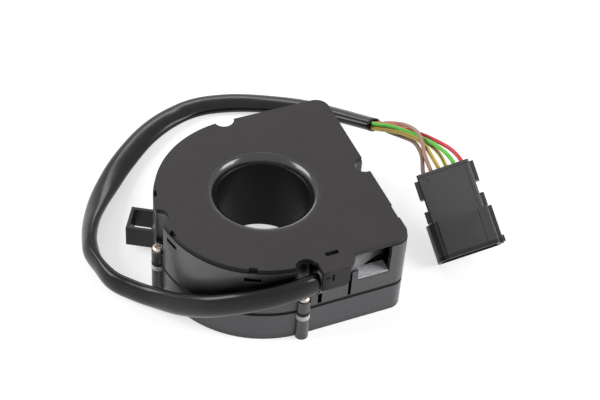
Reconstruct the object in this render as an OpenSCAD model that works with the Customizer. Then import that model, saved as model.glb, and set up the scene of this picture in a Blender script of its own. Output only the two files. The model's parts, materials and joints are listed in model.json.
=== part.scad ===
// Steering angle sensor: a D shaped box round the steering shaft, with a flying lead.
// Millimetres, +Z up. The origin is on the shaft's axis, level with the underside.
// +X points to the flat end of the box, and the cable leaves at the front, on -Y.

/* [Housing] */
// Radius of the round side of the walls
body_r = 40; // [39:0.5:42]
// Distance from the shaft's axis to the flat end
flat_x = 41.4; // [41:0.2:43]
// Corner radius of the flat end
corner_r = 5.5; // [4:0.5:7]
// Height of the whole sensor
body_h = 36; // [35:0.5:40]
// Height of the lower shell, up to the seam
seam_z = 13; // [12.5:0.1:14]
// Height of the dark seam between the shells
seam_gap = 0.8; // [0.4:0.1:1]
// Thickness of the walls
wall_t = 2; // [1.6:0.1:2.4]
// Thickness of the base
base_t = 2; // [1.5:0.1:3]
// Thickness of the top cover
cover_t = 2; // [1.5:0.1:2.5]
// How far the top cover stands in from the walls
cover_inset = 0.4; // [0.2:0.1:0.8]

/* [Shaft hole and rotor] */
// Radius of the rotor's bore, which the shaft goes through
bore_r = 17.4; // [16.5:0.1:18]
// Wall of the rotor sleeve
rotor_t = 1.3; // [1:0.1:1.6]
// Gap under the rotor, which keeps it off the mounting face
rotor_lift = 0.5; // [0.3:0.1:1]
// How far the rotor stops below the top of the cover
rotor_sink = 3.2; // [3.2:0.1:4]
// Radial clearance of the rotor in the lower shell's bearing
bearing_gap = 0.08; // [0.05:0.01:0.1]
// Width of the room between the rotor's flange and the round side of the walls
flange_room = 9; // [8:0.5:10]
// Thickness of the rotor's flange
flange_t = 1.5; // [1:0.1:2]
// Width of the two driving slots in the rotor's lower edge
drive_slot_w = 6; // [4:0.5:8]
// Depth of the driving slots
drive_slot_h = 3; // [2:0.5:4]

/* [Screw columns] */
// Distance of the screw columns from the walls' round face, outwards
column_out = 0.4; // [0:0.1:0.6]
// Distance of the column at the flat end from that end's face, inwards
column_in = 1; // [0.8:0.1:1.4]
// Radius of a screw column
column_r = 2.5; // [2.3:0.1:2.8]
// Top of the lower columns
lower_column_h = 10.2; // [9:0.1:10.5]
// Height of the pale spacer ring on each column
spacer_h = 2.1; // [1.5:0.1:2.3]
// Top of the upper columns, where the screw heads sit
column_top = 19.3; // [18.5:0.1:20]
// Radius of the flutes that let the screwdriver in
flute_r = 3.9; // [3.5:0.1:4.2]
// Radius of a screw head
head_r = 2.1; // [1.9:0.1:2.2]
// Radius of a screw shank
shank_r = 1.1; // [1:0.05:1.2]

/* [Locating loop] */
// Direction of the loop from the shaft's axis
loop_angle = 149.4; // [145:0.2:155]
// How far the loop stands out from the walls' round face
loop_out = 10.2; // [9:0.2:12]
// Width of the loop
loop_w = 11.4; // [10.5:0.1:13]
// Bottom of the loop
loop_z = 3.5; // [2:0.5:4]
// Height of the loop
loop_h = 8.8; // [7:0.1:9.2]
// Thickness of the loop's walls
loop_t = 1.3; // [1:0.1:1.6]

/* [Cable window and strap] */
// Left side of the opening in the front wall
window_x0 = 2.6; // [2.4:0.1:3]
// Right side of the opening
window_x1 = 33.4; // [32:0.1:34]
// Sill of the opening
window_z = 21; // [20.6:0.1:21.4]
// Left side of the strap
strap_x0 = 4.4; // [4.2:0.1:4.8]
// Right side of the strap, at the wall
strap_x1 = 18.1; // [17.5:0.1:18.3]
// How far the strap stands out from the front wall
strap_out = 5.2; // [5.1:0.1:6]
// Thickness of the strap's hanging flap
flap_t = 1.3; // [1:0.1:1.4]
// Height of the flap, from its lower edge to the top of the cover
flap_h = 9.4; // [9:0.1:11]

/* [Circuit board] */
// Underside of the board
board_z = 14.4; // [14:0.1:14.8]
// Thickness of the board
board_t = 1.6; // [1.2:0.1:1.8]
// How far the resistive track disc stands off the board's shaft hole
track_room = 1.2; // [1:0.1:1.7]
// How far the track disc stops short of the flange over it
track_short = 0.5; // [0.2:0.1:1]
// Thickness of the track disc
track_t = 1; // [0.8:0.1:1.2]

/* [Connector] */
// Length of the connector
plug_l = 34; // [33:0.2:37]
// Width of the connector's body
plug_w = 20.6; // [20.4:0.1:22]
// Width of the hood over its mouth, with the rail
hood_w = 26.2; // [26:0.1:28]
// Length of the hood
hood_l = 14.8; // [13:0.2:16]
// Thickness of the connector
plug_t = 9; // [8.8:0.1:10]
// Wall of the hood
hood_t = 1.2; // [1:0.1:1.4]
// Width of the hood's rounded left shoulder
shoulder_w = 4.6; // [4:0.1:5]
// Width of the rail on the hood's right side
rail_w = 1.5; // [1.2:0.1:1.8]
// Distance between its contacts
pin_pitch = 3; // [2.8:0.05:3.05]
// How far the mouth's floor lies behind its rim
mouth_depth = 11; // [10:0.5:12]

/* [Cable] */
// Width of the flattened sleeve
sleeve_w = 9.8; // [9:0.1:10]
// Thickness of the flattened sleeve
sleeve_t = 5.4; // [5:0.1:5.6]
// Diameter of each wire
wire_d = 1.6; // [1.2:0.1:1.6]

/* [Hidden] */
$fn = 96;

housing_color = "#57565a";
cover_color = "#4b494a";
black = "#1f1f21";

COLUMN_ANGLES = [0, 90, 180, 270];
column_pcr = body_r + column_out;
column_x = flat_x - column_in;
cover_z = body_h - cover_t;
upper_z = seam_z + seam_gap / 2;
lower_top = seam_z - seam_gap / 2;
lip_t = 1;
fit = 0.15;
eps = 0.01;

rotor_r = bore_r + rotor_t;
rotor_top = body_h - rotor_sink;
bearing_r = rotor_r + bearing_gap;
bearing_t = 2;
bearing_h = 5;
washer_t = 0.8;
washer_gap = 0.1;
shoulder_z = bearing_h + washer_t + 2 * washer_gap;
shoulder_h = 2;
shoulder_t = 1.5;
board_r0 = rotor_r + shoulder_t + 0.6;
flange_r = body_r - flange_room;
ring_w = flange_r - rotor_r;
track_r0 = board_r0 + track_room;
track_r1 = flange_r - track_short;
track_w = track_r1 - track_r0;
track_top = board_z + board_t + track_t;
film_t = 0.08;
brush_gap = 0.3;
flange_z = track_top + 3.2;
carrier_t = 0.9;
carrier_w = 0.4 * ring_w;

// One D outline serves the walls, the cover, the board and the lips inside
module d_outline(inset = 0) {
    r = body_r - inset;
    x = flat_x - inset;
    c = corner_r - min(inset, corner_r - 1);
    circle(r = r);
    translate([0, -r]) square([x - c, 2 * r]);
    translate([0, -(r - c)]) square([x, 2 * (r - c)]);
    for (s = [-1, 1]) translate([x - c, s * (r - c)]) circle(r = c);
}

module d_slab(z0, z1, inset = 0) {
    translate([0, 0, z0]) linear_extrude(z1 - z0) d_outline(inset);
}

module d_wall(z0, z1, inset, t) {
    translate([0, 0, z0]) linear_extrude(z1 - z0) difference() {
        d_outline(inset);
        d_outline(inset + t);
    }
}

module at_columns() {
    for (a = COLUMN_ANGLES) rotate([0, 0, a]) translate([a == 0 ? column_x : column_pcr, 0, 0]) children();
}

module tube(r0, r1, z0, z1) {
    translate([0, 0, z0]) difference() {
        cylinder(r = r1, h = z1 - z0);
        translate([0, 0, -1]) cylinder(r = r0, h = z1 - z0 + 2);
    }
}

// Locating loop: a frame whose root follows the round face of the lower shell's wall
module loop_frame() {
    gap_in = body_r + 0.8;
    out = body_r + loop_out;
    color(housing_color) difference() {
        rotate([0, 0, loop_angle]) translate([0, 0, loop_z]) difference() {
            translate([body_r - wall_t, -loop_w / 2, 0]) cube([loop_out + wall_t, loop_w, loop_h]);
            translate([gap_in, -loop_w / 2 + loop_t, -1])
                cube([out - gap_in - loop_t, loop_w - 2 * loop_t, loop_h + 2]);
        }
        cylinder(r = body_r, h = body_h);
    }
}

// Screw columns of the lower shell, with blind holes that the threads bite into
column_hole_r = shank_r + 0.1;
screw_tip_z = 2.5;

// The electronics lie in the room between the bearing and the lip, and the posts at its outer side
room_r0 = bearing_r + bearing_t;
room_w = body_r - wall_t - fit - lip_t - room_r0;
board_post_r = 0.125 * room_w;
post_r = room_r0 + 0.79 * room_w;
BOARD_POSTS = [for (a = [45, 135, 225, 315]) [post_r * cos(a), post_r * sin(a)]];

module lower_housing() {
    color(housing_color) difference() {
        union() {
            d_slab(0, base_t);
            d_wall(0, lower_top, 0, wall_t);
            d_wall(base_t - eps, upper_z + 1.1, wall_t + fit, lip_t);
            d_wall(base_t - eps, lower_top, wall_t - eps, fit + 2 * eps);
            at_columns() cylinder(r = column_r, h = lower_column_h);
            cylinder(r = bearing_r + bearing_t, h = bearing_h);
            for (p = BOARD_POSTS) translate([p[0], p[1], 0]) cylinder(r = board_post_r, h = board_z);
        }
        translate([0, 0, -1]) cylinder(r = bearing_r, h = body_h);
        translate([0, 0, -eps]) cylinder(r1 = bearing_r + 0.6, r2 = bearing_r, h = 0.6);
        at_columns() {
            translate([0, 0, lower_column_h]) cylinder(r = column_r + fit, h = body_h);
            translate([0, 0, 1.5]) cylinder(r = column_hole_r, h = body_h);
        }
        ring_groove();
    }
}

// Shallow groove round the shaft hole on the underside, which seats a foam ring on the car
module ring_groove() {
    groove_r = bearing_r + bearing_t + 2;
    translate([0, 0, -eps]) difference() {
        cylinder(r = groove_r + 4, h = 0.8);
        translate([0, 0, -1]) cylinder(r = groove_r, h = 3);
    }
}

hook_w = 3;
HOOK_ANGLES = [163, 194, 243];
slot_left_x = [strap_x0 + 1.2, strap_x0 + 2.8];
slot_right_x = [strap_x1 - 0.7, strap_x1 + 0.5];
root_h = 1;
post_w = 2.2;
post_t = 0.9;
post_h = 5;

module upper_housing() {
    color(housing_color) difference() {
        union() {
            d_wall(upper_z, cover_z, 0, wall_t);
            intersection() {
                d_slab(lower_column_h, cover_z);
                at_columns() translate([0, 0, column_top - 1.8])
                    cylinder(r = flute_r + 1.6, h = cover_z - column_top + 1.8);
            }
            at_columns() translate([0, 0, lower_column_h + spacer_h])
                cylinder(r = column_r, h = column_top - lower_column_h - spacer_h);
            translate([slot_right_x[1], -body_r, window_z - 1]) cube([post_w, post_t, post_h + 1]);
        }
        at_columns() {
            translate([0, 0, column_top]) cylinder(r = flute_r, h = body_h);
            translate([0, 0, -1]) cylinder(r = shank_r + 0.25, h = body_h);
        }
        front_opening();
        for (x = [slot_left_x, slot_right_x])
            translate([x[0], -body_r - 1, upper_z + root_h]) cube([x[1] - x[0], wall_t + 2, window_z - upper_z]);
        for (a = HOOK_ANGLES) rotate([0, 0, a])
            translate([body_r - wall_t - 1, -hook_w, cover_z - 4]) cube([wall_t + 2, 2 * hook_w, 2]);
    }
}

// The wall is open behind the strap and over the sill, and the post stays between them
module front_opening() {
    h = cover_z - window_z + 1;
    post_x1 = slot_right_x[1] + post_w;
    translate([window_x0, -body_r - 3, window_z]) cube([slot_right_x[1] - window_x0, 3 + wall_t + 4, h]);
    translate([post_x1, -body_r - 3, window_z]) cube([window_x1 - post_x1, 3 + wall_t + 1, h]);
    translate([slot_right_x[1] - 1, -body_r - 3, window_z + post_h]) cube([post_w + 2, 3 + wall_t + 1, h]);
    translate([slot_right_x[1] - 1, -body_r + post_t, window_z]) cube([post_w + 2, wall_t + 1, h]);
}

// Cover: a plate with a rolled collar round the shaft hole, hooks and the cable strap
collar_r = rotor_r + 0.1;
collar_drop = rotor_sink - cover_t - 0.4;

module cover_collar() {
    rotate_extrude() union() {
        translate([collar_r, cover_z - collar_drop]) square([2.4, collar_drop + cover_t]);
        translate([collar_r, cover_z]) square([4, cover_t]);
    }
}

module collar_mouth() {
    depth = body_h - (cover_z - collar_drop);
    lead = 1.3;
    rotate_extrude() polygon([
        [0, -1 + body_h - depth], [collar_r - 0.4, -1 + body_h - depth], [collar_r - 0.4, body_h - depth],
        [collar_r - 0.1, body_h - depth + 0.6],
        for (i = [0:8]) let (a = i * 90 / 8)
            [collar_r + lead * (1 - cos(a)), body_h - lead + lead * sin(a)],
        [collar_r + lead, body_h + 1], [0, body_h + 1]
    ]);
}

strap_y = body_r + strap_out;
flap_z = body_h - flap_h;

module strap_plan() {
    r = strap_x1 - 13;
    translate([strap_x0, -body_r - 0.2]) square([strap_x1 - strap_x0, 3]);
    translate([strap_x0, -strap_y]) square([strap_x1 - r - strap_x0, strap_y - body_r + 1]);
    intersection() {
        translate([strap_x1 - r, -strap_y + r]) circle(r = r);
        translate([strap_x1 - r - eps, -strap_y]) square([r + 1, strap_y - body_r + 1]);
    }
}

module strap_flap() {
    flap_x1 = strap_x1 - 3.2;
    corner = 2.6;
    difference() {
        translate([0, -strap_y + flap_t, 0]) rotate([90, 0, 0]) linear_extrude(flap_t) {
            translate([strap_x0, flap_z]) square([flap_x1 - corner - strap_x0, body_h - 1 - flap_z]);
            translate([strap_x0, flap_z + corner]) square([flap_x1 - strap_x0, body_h - 1 - flap_z - corner]);
            translate([flap_x1 - corner, flap_z + corner]) circle(r = corner);
        }
        translate([strap_x0 + 3.6, -strap_y - 1, flap_z + 0.43 * flap_h]) cube([0.7, flap_t + 2, 0.38 * flap_h]);
        translate([strap_x0 + 1, -strap_y - 1, flap_z + 0.62 * flap_h]) cube([2.1, flap_t + 2, 0.075 * flap_h]);
    }
}

// A slot at the strap's root and a shallow notch in the flat edge
slot_x = strap_x0 + 4.1;
slot_l = 5;
slot_w = 1.8;
notch_w = 6.7;
notch_t = 0.5;

module top_cover() {
    color(cover_color) difference() {
        union() {
            d_slab(cover_z, body_h, cover_inset);
            difference() {
                d_wall(cover_z - 1.6, cover_z + eps, wall_t + fit, lip_t);
                translate([window_x0 - 4, -body_r, cover_z - 3]) cube([window_x1 + 2, 8, 3]);
            }
            cover_collar();
            translate([0, 0, cover_z]) linear_extrude(cover_t) strap_plan();
            strap_flap();
            for (a = HOOK_ANGLES) rotate([0, 0, a]) cover_hook();
        }
        collar_mouth();
        at_columns() translate([0, 0, cover_z - 3]) cylinder(r = flute_r, h = body_h);
        at_columns() translate([0, 0, cover_z - 3]) cylinder(r = flute_r + 1.6 + fit, h = 3);
        translate([slot_x, 2 - body_r, cover_z - 1]) cube([slot_l, slot_w, cover_t + 2]);
        for (a = HOOK_ANGLES) rotate([0, 0, a])
            translate([body_r - cover_inset - 1, -hook_w / 2, cover_z - eps]) cube([3, hook_w, cover_t + 1]);
        translate([flat_x - cover_inset - notch_t, 10.7 - body_r, cover_z - 1]) cube([2, notch_w, cover_t + 2]);
    }
}

module cover_hook() {
    x = body_r - wall_t - fit - lip_t;
    translate([x, -hook_w / 2, cover_z - 3.7]) cube([lip_t, hook_w, 3.8]);
    translate([x, -hook_w / 2, cover_z - 3.7]) cube([lip_t + fit + 0.9, hook_w, 1.2]);
}

module spacer_rings() {
    color("#cfcac0") at_columns()
        tube(shank_r + 0.25, column_r + 0.1, lower_column_h, lower_column_h + spacer_h);
}

module housing_screws() {
    color("#b9a892") at_columns() difference() {
        union() {
            translate([0, 0, screw_tip_z]) cylinder(r = shank_r, h = column_top - screw_tip_z + 0.5);
            translate([0, 0, column_top]) cylinder(r = head_r, h = 1);
            translate([0, 0, column_top + 1]) cylinder(r1 = head_r, r2 = head_r - 0.6, h = 0.6);
        }
        for (a = [0, 90]) rotate([0, 0, a])
            translate([-head_r * 0.62, -0.3, column_top + 0.7]) cube([head_r * 1.24, 0.6, 2]);
    }
}

// Rotor: the sleeve on the shaft, with a shoulder below and a flange for the brushes
module rotor() {
    color("#2b2b2d") difference() {
        union() {
            translate([0, 0, rotor_lift]) cylinder(r = rotor_r, h = rotor_top - rotor_lift);
            translate([0, 0, shoulder_z]) cylinder(r = rotor_r + shoulder_t, h = shoulder_h);
            translate([0, 0, flange_z]) cylinder(r = flange_r, h = flange_t);
            translate([0, 0, flange_z + flange_t - eps]) cylinder(r1 = rotor_r + 2.5, r2 = rotor_r, h = 2.5);
        }
        translate([0, 0, -1]) cylinder(r = bore_r, h = body_h + 2);
        translate([0, 0, rotor_top - 0.5]) cylinder(r1 = bore_r, r2 = bore_r + 0.5 + eps, h = 0.5 + eps);
        for (a = [0, 180]) rotate([0, 0, a])
            translate([bore_r - 2, -drive_slot_w / 2, -1]) cube([rotor_t + 4, drive_slot_w, drive_slot_h + rotor_lift + 1]);
        for (a = [30:60:330]) rotate([0, 0, a])
            translate([rotor_r + 0.58 * ring_w, 0, flange_z - 1]) cylinder(r = 0.195 * ring_w, h = flange_t + 2);
    }
}

module thrust_washer() {
    color("#c7a24a")
        tube(bearing_r + 0.2, bearing_r + bearing_t - 0.1, bearing_h + washer_gap / 2, bearing_h + washer_gap / 2 + washer_t);
}

// Arc of the carrier ring that holds the two brush blades under the flange
carrier_span = 120;
carrier_z = flange_z - carrier_t;
carrier_r0 = rotor_r + 0.31 * ring_w;
carrier_r1 = carrier_r0 + carrier_w;

module arc_plate(r0, r1, z, h, a0, a1) {
    translate([0, 0, z]) rotate([0, 0, a0]) rotate_extrude(angle = a1 - a0)
        translate([r0, 0]) square([r1 - r0, h]);
}

module wiper_carrier() {
    color("#d8d2c4") arc_plate(carrier_r0, carrier_r1, carrier_z, carrier_t, -15, carrier_span - 15);
}

// A brush is a folded strip: a foot on the carrier, a sloping arm and split fingers
brush_w = 0.9 * carrier_w;
finger_w = 0.17 * brush_w;

module wiper_brush(angle) {
    tip = track_top + film_t + brush_gap;
    top = carrier_z;
    t = 0.25;
    mid_r = (carrier_r0 + carrier_r1) / 2;
    rotate([0, 0, angle]) translate([mid_r, 0, 0]) {
        translate([-brush_w / 2, -2, top - t]) cube([brush_w, 4, t]);
        for (i = [0:2]) translate([-brush_w / 2 + i * (brush_w - finger_w) / 2, 0, 0])
            rotate([90, 0, 90]) linear_extrude(finger_w) polygon([
                [2 - eps, top - t], [2 - eps, top], [3, top], [7.4, tip + 0.9], [8, tip + t], [8.8, tip + 0.9],
                [9, tip + 0.8], [8.1, tip], [7.8, tip], [7.1, tip + 0.7], [2.8, top - t]
            ]);
    }
}

module wiper_brush_a() {
    color("#c98f4a") wiper_brush(0);
}

module wiper_brush_b() {
    color("#c98f4a") wiper_brush(90);
}

// Board: the D outline again, with the shaft hole and clear of columns, posts and hooks
board_inset = wall_t + fit + lip_t + 0.3;

module circuit_board() {
    color("#2f6b3c") translate([0, 0, board_z]) linear_extrude(board_t) difference() {
        d_outline(board_inset);
        circle(r = board_r0);
        at_columns() circle(r = column_r + 1.2);
        for (i = [0:5]) translate(tail_at(i)) circle(r = tail_r + fit);
    }
}

module track_disc() {
    color("#e4dfd2") tube(track_r0, track_r1, board_z + board_t, track_top);
}

// Half the angle left open between the ends of a track
track_gap = 5;

module resistive_tracks() {
    color("#1b1b1d") for (share = [0.07, 0.29])
        arc_plate(track_r0 + share * track_w, track_r0 + (share + 0.14) * track_w, track_top, film_t,
                  track_gap, 360 - track_gap);
}

module collector_ring() {
    color("#d9c36a") tube(track_r0 + 0.5 * track_w, track_r0 + 0.66 * track_w, track_top, track_top + film_t);
}

// Electronics hang under the board, each at a share of the room's width and of its own size there
part_gap = 0.05;
chip_r = room_r0 + 0.51 * room_w;
outer_r = room_r0 + 0.75 * room_w;
unit_w = room_w / 16;

module chip(w, l, h, legs, pitch, r = chip_r) {
    top = board_z - part_gap;
    u = unit_w;
    translate([r, 0, 0]) {
        translate([-w * u / 2, -l * u / 2, top - h]) cube([w * u, l * u, h - 0.2]);
        for (s = [-1, 1]) for (i = [0:legs - 1])
            translate([s * (w / 2 + 0.4) * u - 0.4 * u - eps * s, ((i - (legs - 1) / 2) * pitch - 0.2) * u, top - h / 2])
                cube([0.8 * u, 0.4 * u, h / 2]);
    }
}

module microcontroller() {
    color(black) rotate([0, 0, 80]) chip(8, 10, 2.2, 10, 0.95);
}

module memory_chip() {
    color(black) rotate([0, 0, 112]) chip(4, 5, 1.6, 4, 1.27);
}

module bus_transceiver() {
    color(black) rotate([0, 0, 200]) chip(4, 5, 1.6, 4, 1.27);
}

module voltage_regulator() {
    color(black) rotate([0, 0, 246]) chip(6.5, 6.5, 2.4, 3, 2.1);
}

module clock_crystal() {
    can_h = 3.5;
    color("#c9ccd0") rotate([0, 0, 52]) translate([chip_r, 0, board_z - part_gap - can_h])
        linear_extrude(can_h) {
            square([3.8 * unit_w, 6 * unit_w], center = true);
            for (s = [-1, 1]) translate([0, s * 3 * unit_w]) circle(r = 1.9 * unit_w);
        }
}

module filter_capacitors() {
    can_h = 7;
    color("#3a3f52") for (a = [290, 304]) rotate([0, 0, a])
        translate([chip_r, 0, board_z - part_gap - can_h]) cylinder(r = 2.5 * unit_w, h = can_h);
}

module chip_row(angles, r, w, l, h) {
    for (a = angles) rotate([0, 0, a]) translate([r - w * unit_w / 2, -l * unit_w / 2, board_z - part_gap - h])
        cube([w * unit_w, l * unit_w, h]);
}

module chip_capacitors() {
    chip_h = 1.2;
    color("#b08a5a") chip_row([142, 148, 154, 212, 220, 266, 274, 32, 38], chip_r, 3.2, 1.6, chip_h);
}

module chip_resistors() {
    chip_h = 0.6;
    color("#2c2c30") chip_row([144, 151, 158, 165, 208, 214, 262, 280, 28, 34], outer_r, 2, 1.2, chip_h);
}

module surge_diode() {
    color(black) rotate([0, 0, 330]) chip(4.4, 3.6, 2.2, 1, 1);
}

// Cable: a route is a list of points, each with how far the flat section is turned there
function unit(v) = v / norm(v);
function point(p) = [p[0], p[1], p[2]];
function along(route, i) = unit(
    point(route[min(i + 1, len(route) - 1)]) - point(route[max(i - 1, 0)]));
function ring(c, t, turn, w, h, sides) =
    let (side = unit(cross(t, [0, 0, 1])), up = cross(side, t),
         wide = side * cos(turn) + up * sin(turn), thin = up * cos(turn) - side * sin(turn))
    [for (k = [0:sides - 1]) let (a = 360 * k / sides + 180 / sides)
        c + wide * cos(a) * w / 2 + thin * sin(a) * h / 2];

module sweep(route, w, h, sides) {
    n = len(route);
    points = [for (i = [0:n - 1])
        each ring(point(route[i]), along(route, i), len(route[i]) > 3 ? route[i][3] : 0, w, h, sides)];
    polyhedron(points, [
        [for (k = [0:sides - 1]) k],
        for (i = [0:n - 2]) for (k = [0:sides - 1]) let (a = i * sides + k, b = i * sides + (k + 1) % sides)
            each [[a, a + sides, b], [b, a + sides, b + sides]],
        [for (k = [sides - 1:-1:0]) (n - 1) * sides + k]
    ], convexity = 6);
}

// Free lead: out from behind the strap, round the loop on the surface, up to its wires
SLEEVE_ROUTE = [
    [3.6, -41.7, 27.5, 90], [-1.3, -42.6, 28, 90], [-8, -42.6, 27.5, 90], [-14.5, -41.2, 26, 90],
    [-22.5, -37.6, 23, 90], [-32, -30.6, 17.5, 90], [-39.5, -20.8, 11, 90], [-45.5, -11, 6.5, 90],
    [-51.5, -3.5, 5.1, 90], [-57, 4, 5, 90], [-59.5, 14, 5, 90], [-59.5, 22.7, 5, 80],
    [-56, 33.2, 4.6, 60], [-50.3, 43.2, 3.9, 35], [-42.8, 53.2, 3.2, 12], [-33.4, 63.8, 2.8, 0],
    [-20.5, 75, 2.8, 0], [-8, 82, 2.8, 0], [5, 85.2, 2.8, 0], [18, 83.5, 2.9, 0],
    [31.5, 78, 3.4, 5], [47, 68, 5, 15], [56, 57.5, 7.5, 25], [66, 42, 12, 30]
];
// Held lead: from the board's corner to the strap, squeezed as it passes behind it
INNER_ROUTE = [
    [36, -26.5, 23, 90], [33.5, -30, 25.5, 90], [27.5, -33, 27, 90], [19.7, -36.2, 27.3, 90],
    [13, -39.4, 27.2, 90], [8.6, -40.8, 27, 90], [3.7, -41.7, 27.5, 90]
];
inner_w = 9.2;
inner_t = 4.6;
WIRE_ROUTES = [
    [[67.6, 42.4, 10.1], [68.8, 40.5, 10.7], [70, 35.8, 12.2], [71.4, 28.4, 15.8], [71.6, 19, 21],
     [69.8, 10.4, 24.4], [68.2, 5.2, 24.8], [66.3, 0.2, 23.3], [66.2, -3.2, 21.3]],
    [[68.1, 43.2, 11.7], [69.4, 41.3, 12.3], [71.4, 39, 14], [74.4, 31.8, 18.2], [72.8, 19.8, 25.6],
     [71, 11.8, 27.4], [69.2, 5.4, 26.6], [69, -0.4, 24.4], [69, -3.9, 22.3]],
    [[63.9, 40.7, 12.3], [65.1, 38.8, 12.9], [68.2, 32.4, 16.4], [70.2, 24.6, 20.8], [71.8, 16.2, 24.4],
     [72, 9.8, 26.2], [71.6, 4.6, 26.4], [71.7, -1.1, 25.5], [71.7, -4.5, 23.4]],
    [[65.7, 41.5, 11.2], [67, 39.6, 11.8], [69.4, 35, 14.6], [72.2, 27.6, 18.4], [74, 19.4, 21.8],
     [75, 11.8, 24.6], [74.8, 4, 26.6], [74.4, -1.8, 26.5], [74.4, -5.2, 24.5]],
    [[64.5, 41.5, 13.9], [65.7, 39.6, 14.5], [69, 34.2, 17.2], [71.6, 26, 20.8], [73.4, 17.2, 24.4],
     [75, 8.6, 27.6], [76.4, 2.4, 28.4], [77.2, -2.4, 27.6], [77.1, -5.8, 25.5]],
    [[66.3, 42.4, 12.8], [67.6, 40.5, 13.4], [70.6, 36, 15.8], [73.6, 29.4, 18], [76.4, 21.2, 21.6],
     [77.8, 11, 26.2], [79, 3, 28.8], [79.9, -3.1, 28.7], [79.9, -6.5, 26.6]]
];
WIRE_COLORS = ["#7a5c4e", "#8d7468", "#d8c04a", "#c9b23e", "#5ec84a", "#d8404a"];

module cable_sleeve() {
    color("#222224") sweep(SLEEVE_ROUTE, sleeve_w, sleeve_t, 12);
}

module inner_cable() {
    color("#4a4a4d") sweep(INNER_ROUTE, inner_w, inner_t, 12);
}

module wire(i) {
    color(WIRE_COLORS[i]) sweep(WIRE_ROUTES[i], wire_d, wire_d, 8);
}

module wire_brown() { wire(0); }
module wire_violet_brown() { wire(1); }
module wire_yellow_brown() { wire(2); }
module wire_yellow_black() { wire(3); }
module wire_green() { wire(4); }
module wire_red() { wire(5); }

// Pale seal in the sill of the window, under the cable
module cable_seal() {
    x0 = slot_right_x[1] + post_w + 0.2;
    color("#b4b1b5") difference() {
        translate([x0, -body_r + 0.3, window_z]) cube([window_x1 - x0 - 0.2, wall_t + 3.2, 0.8]);
        translate([x0 - 1, -body_r + wall_t + 3.4, window_z - 1]) rotate([0, 0, 12]) cube([6, 3, 4]);
    }
}

// Six wire tails drop from the inner end of the cable to holes in the board's corner
function tail_at(i) = [flat_x - 6.2 + (i % 3 - 1) * 1.5, 12.6 - body_r + (floor(i / 3) - 0.5) * 1.9];

tail_top = 18.2;
tail_r = 0.4;

module wire_tails() {
    color("#c98f4a") for (i = [0:5]) translate([tail_at(i)[0], tail_at(i)[1], board_z - 0.8])
        cylinder(r = tail_r, h = tail_top - board_z + 0.8, $fn = 24);
}

// The connector leans on a corner of its mouth. Its own frame has Y to the rear, Z through its thickness
plug_tilt = 31;
plug_yaw = -0.5;
plug_roll = -24.5;
rim_bevel = 0.8;
plug_place = [74.7, -29.5, (hood_w / 2 - rim_bevel) * sin(-plug_roll) * cos(plug_tilt)];
body_low = 0.5;
body_drop = 0.3;
pin_hole_r = 1.1;
PINS = [for (i = [0:5]) (i - 2.5) * pin_pitch];
mid_z = plug_t / 2;
cavity_w = 6 * pin_pitch + 0.9;
carrier_h = 5;
carrier_clear = 0.1;
carrier_l = 16;
carrier_out = 6;
lock_y = hood_l + 5;
lock_l = 4;

module placed_plug() {
    translate(plug_place) rotate([plug_tilt, 0, plug_yaw]) rotate([0, plug_roll, 0]) children();
}

// A profile in X and Z, drawn out along the connector from y0 to y1
module drawn(y0, y1) {
    translate([0, y1, 0]) rotate([90, 0, 0]) linear_extrude(y1 - y0) children();
}

module bevelled_block(w, y0, y1, z0, z1, b) {
    drawn(y0, y1) polygon([
        [-w / 2 + b, z0], [w / 2 - b, z0], [w / 2, z0 + b], [w / 2, z1 - b],
        [w / 2 - b, z1], [-w / 2 + b, z1], [-w / 2, z1 - b], [-w / 2, z0 + b]
    ]);
}

// Hood section: a rounded left shoulder that rises to a low step, a flat top and a straight right side
hood_x0 = -hood_w / 2;
hood_x1 = hood_w / 2 - rail_w;
shoulder_rise = 0.6 * plug_t;
top_step = 0.35;

module hood_section(inset, step) {
    low = plug_t - top_step - shoulder_rise;
    x = hood_x0 + shoulder_w;
    polygon([
        [hood_x0 + rim_bevel + inset / 2, inset], [hood_x1 - rim_bevel - inset / 2, inset],
        [hood_x1 - inset, rim_bevel + inset / 2], [hood_x1 - inset, plug_t - inset - 0.4],
        [hood_x1 - inset - 0.4, plug_t - inset], [x + 0.25, plug_t - inset], [x, plug_t - inset - step],
        for (a = [75:-15:0])
            [x - (shoulder_w - inset) * cos(a), low + (shoulder_rise + top_step - step - inset) * sin(a)],
        [hood_x0 + inset, rim_bevel + inset / 2]
    ]);
}

module side_rib(s, y0, y1) {
    rib_out = 1.6;
    translate([s > 0 ? plug_w / 2 - 0.5 : -plug_w / 2 - rib_out, y0, mid_z - 2]) cube([rib_out + 0.5, y1 - y0, 4]);
}

// Shallow lines along the top, a groove behind the rear rim and a round ejector mark
module top_marks() {
    body_top = plug_t - body_drop;
    line_w = 0.3;
    line_t = 0.25;
    translate([plug_w / 2 - 2, hood_l, body_top - line_t]) cube([line_w, plug_l - hood_l - 3, 1]);
    translate([hood_x1 - 4.2, -1, plug_t - line_t]) cube([line_w, hood_l + 2, 1]);
    translate([-plug_w, plug_l - 1.4, body_top - line_t]) cube([2 * plug_w, line_w, 1]);
    translate([-plug_w / 2 + 2.8, plug_l - 3.6, body_top - line_t]) cylinder(r = 1.5, h = 1);
}

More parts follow.
